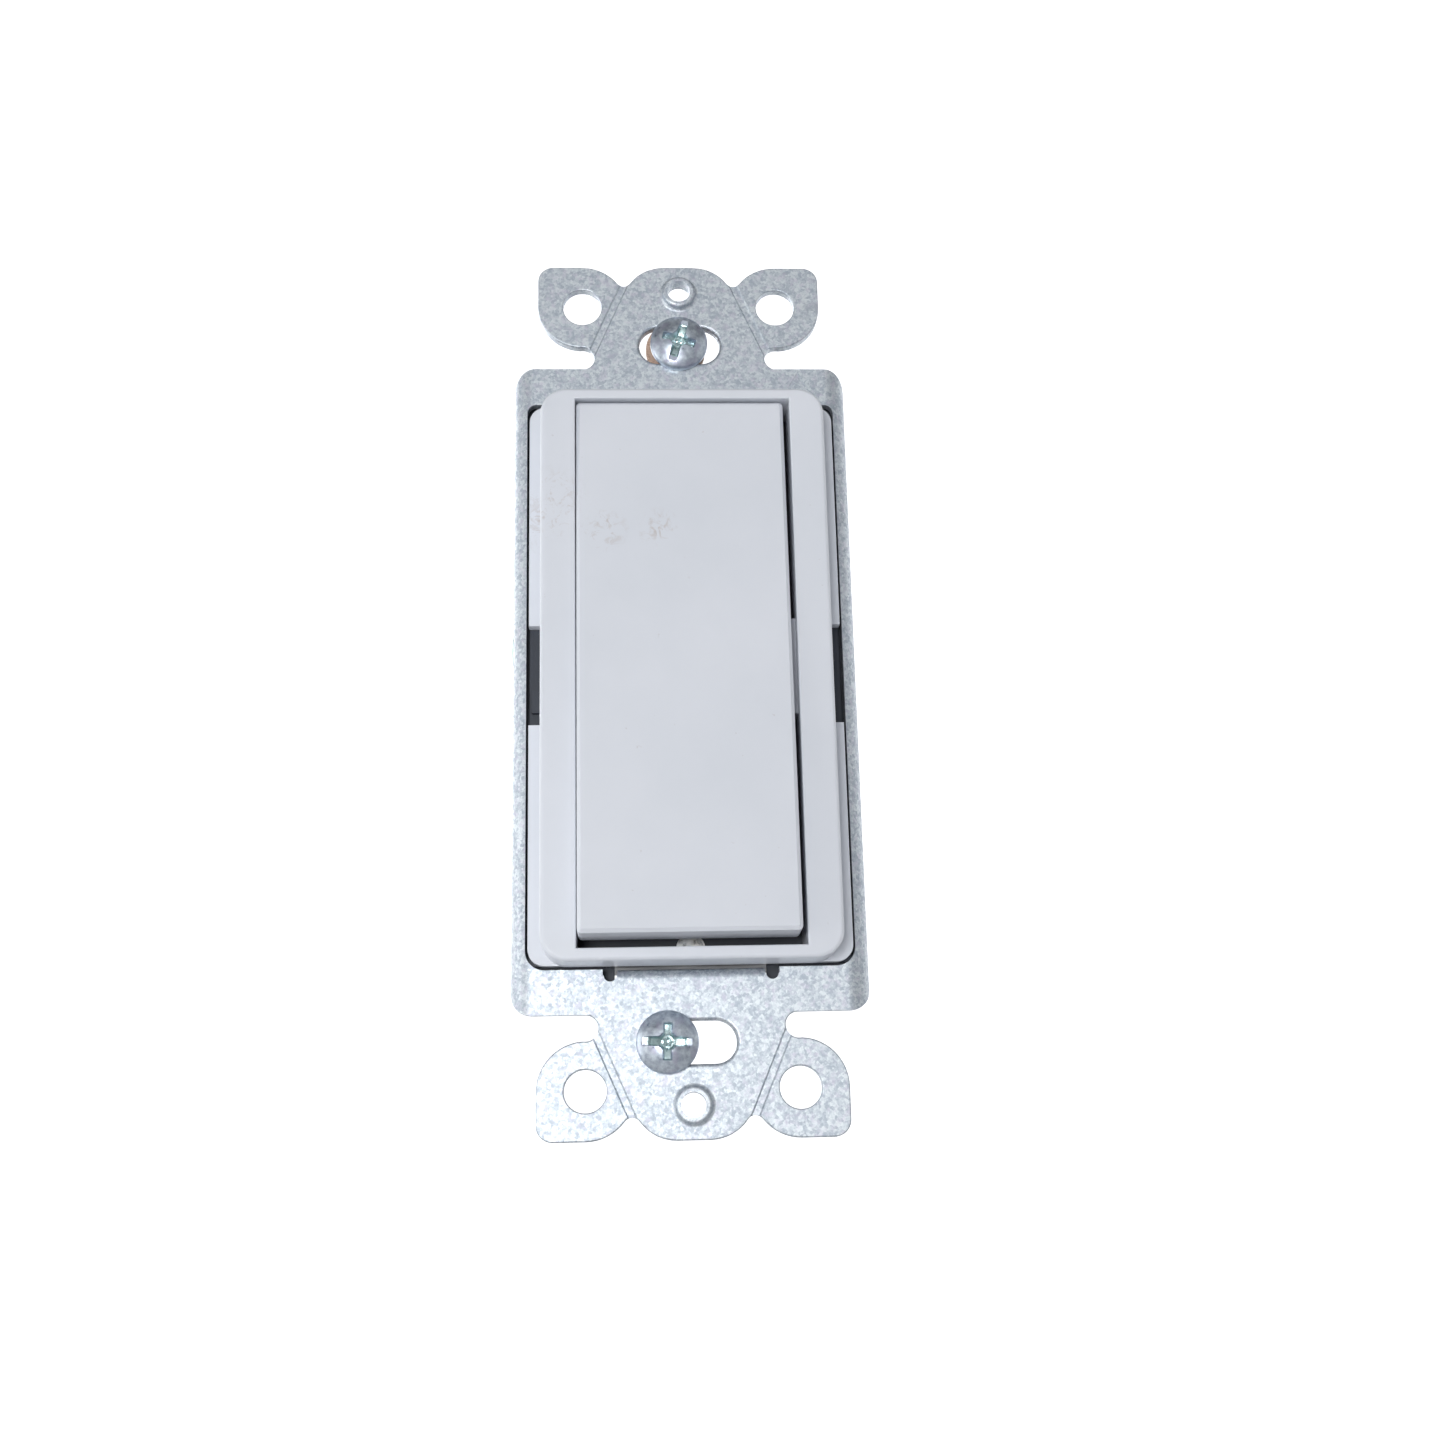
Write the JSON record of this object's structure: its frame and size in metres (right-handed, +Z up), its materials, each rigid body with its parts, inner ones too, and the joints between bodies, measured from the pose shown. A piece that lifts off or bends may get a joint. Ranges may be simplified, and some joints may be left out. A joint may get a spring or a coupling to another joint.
{
  "type": "paddle wall switch",
  "caption": "Decorator-style rocker wall switch: white flat paddle in a bezel, on a zinc-plated steel strap with ears, over a black rear case with side terminals.",
  "frame": {"origin": "centre of the mounting strap, on its rear plane, midway between the two wallplate screw holes", "axes": "+Z up along the strap, towards the pressed-in end of the paddle; -Y out of the wall towards the user; +X to the right seen from the front"},
  "size_m": [0.0404, 0.0346, 0.1042],
  "materials": {
    "zinc_steel": "galvanised sheet with a fine mottled spangle",
    "white_plastic": "satin white moulded plastic",
    "black_plastic": "fine matt moulded thermoset",
    "grey_plastic": "natural moulded nylon",
    "brass": "stamped brass",
    "contact_silver": "silver alloy contact",
    "spring_steel": "drawn spring wire",
    "bright_steel": "nickel-plated rivet",
    "screw_zinc": "zinc plate with a blue-green passivation tint",
    "green_steel": "green dyed zinc plate",
    "fibre": "pressed fibre board"
  },
  "bodies": {
    "switch_frame": {"mounting_strap": "zinc_steel", "bezel": "white_plastic", "front_deck": "black_plastic", "rear_housing": "black_plastic", "housing_rivets": "bright_steel", "line_terminal": "brass", "load_terminal": "brass", "fixed_contact": "contact_silver"},
    "paddle_assembly": {"paddle": "white_plastic", "actuator": "grey_plastic", "actuator_spring": "spring_steel", "plunger": "grey_plastic"},
    "contact_arm_assembly": {"contact_arm": "brass", "moving_contact": "contact_silver"},
    "line_clamp": {"line_clamp_plate": "brass"},
    "line_screw": {"line_terminal_screw": "brass"},
    "load_clamp": {"load_clamp_plate": "brass"},
    "load_screw": {"load_terminal_screw": "brass"},
    "earth_screw": {"ground_screw": "green_steel"},
    "top_washer": {"top_screw_washer": "fibre"},
    "top_screw": {"top_mounting_screw": "screw_zinc"},
    "bottom_washer": {"bottom_screw_washer": "fibre"},
    "bottom_screw": {"bottom_mounting_screw": "screw_zinc"}
  },
  "joints": [
    {"name": "paddle_rock", "type": "hinge", "parent": "switch_frame", "child": "paddle_assembly", "pos_m": [0, 0.0025, 0], "axis": [1, 0, 0], "range_deg": [0, 5.9]},
    {"name": "contact_arm_rock", "type": "hinge", "parent": "switch_frame", "child": "contact_arm_assembly", "pos_m": [0, 0.018, 0], "axis": [1, 0, 0], "range_deg": [-11.8, 0]},
    {"name": "line_clamp_slide", "type": "slide", "parent": "switch_frame", "child": "line_clamp", "axis": [1, 0, 0], "range_m": [0, 0.0024]},
    {"name": "line_screw_turn", "type": "hinge", "parent": "line_clamp", "child": "line_screw", "pos_m": [0.0145, 0.0135, 0.015], "axis": [1, 0, 0], "range_deg": [0, 1089]},
    {"name": "load_clamp_slide", "type": "slide", "parent": "switch_frame", "child": "load_clamp", "axis": [1, 0, 0], "range_m": [0, 0.0024]},
    {"name": "load_screw_turn", "type": "hinge", "parent": "load_clamp", "child": "load_screw", "pos_m": [0.0145, 0.0135, -0.015], "axis": [1, 0, 0], "range_deg": [0, 1089]},
    {"name": "ground_screw_turn", "type": "hinge", "parent": "switch_frame", "child": "earth_screw", "pos_m": [-0.018, 0.0093, 0.006], "axis": [-1, 0, 0], "range_deg": [0, 1080]},
    {"name": "top_screw_slide", "type": "slide", "parent": "switch_frame", "child": "top_washer", "axis": [1, 0, 0], "range_m": [-0.0028, 0.003]},
    {"name": "top_screw_turn", "type": "hinge", "parent": "top_washer", "child": "top_screw", "pos_m": [-0.0001, 0, 0.04167], "axis": [0, -1, 0], "continuous": true},
    {"name": "bottom_screw_slide", "type": "slide", "parent": "switch_frame", "child": "bottom_washer", "axis": [1, 0, 0], "range_m": [-0.00015, 0.00565]},
    {"name": "bottom_screw_turn", "type": "hinge", "parent": "bottom_washer", "child": "bottom_screw", "pos_m": [-0.00275, 0, -0.04167], "axis": [0, -1, 0], "continuous": true}
  ],
  "couplings": [
    {"joint": "contact_arm_rock", "follows": "paddle_rock", "ratio": -2},
    {"joint": "line_screw_turn", "follows": "line_clamp_slide", "rad_per_m": 7915.8},
    {"joint": "load_screw_turn", "follows": "load_clamp_slide", "rad_per_m": 7915.8}
  ]
}
